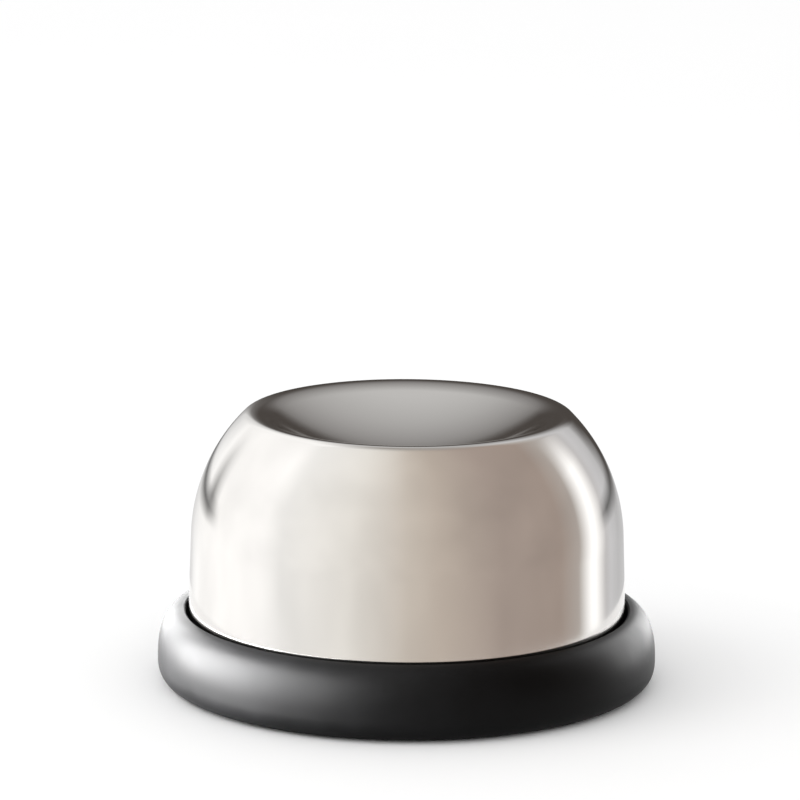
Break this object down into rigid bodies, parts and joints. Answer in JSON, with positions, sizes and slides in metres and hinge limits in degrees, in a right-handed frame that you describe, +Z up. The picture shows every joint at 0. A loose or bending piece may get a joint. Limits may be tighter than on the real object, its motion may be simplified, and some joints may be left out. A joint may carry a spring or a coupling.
{
  "type": "egg piercer",
  "caption": "Press-down egg piercer: polished steel dome with a concave egg dish slides into a black base ring against a spring, so a fixed needle comes up through the dish.",
  "frame": {"origin": "centre of the flat foot face that the piercer stands on", "axes": "+Z up along the dome's axis and the direction opposite to the press; the round body has no marked front"},
  "size_m": [0.057, 0.057, 0.0312],
  "materials": {
    "polished_steel": "mirror-polished stainless steel",
    "ring_rubber": "smooth moulded black rubber, semi-gloss",
    "base_plastic": "black moulded plastic, fine texture",
    "carrier_plastic": "natural moulded acetal",
    "plain_steel": "plain zinc-plated steel",
    "needle_steel": "ground hardened steel",
    "spring_steel": "drawn spring wire"
  },
  "bodies": {
    "base": {"base_body": "base_plastic", "base_ring": "ring_rubber", "needle": "needle_steel", "return_spring": "spring_steel", "bottom_cover": "base_plastic", "cover_screws": "plain_steel"},
    "dome": {"dome_shell": "polished_steel", "dome_carrier": "carrier_plastic", "stop_washers": "plain_steel", "stop_screws": "plain_steel"}
  },
  "joints": [
    {"name": "dome_press", "type": "slide", "parent": "base", "child": "dome", "axis": [0, 0, -1], "range_m": [0, 0.004], "stiffness_N_per_m": 1000, "springref_m": -0.003, "deforming": ["return_spring"]}
  ]
}
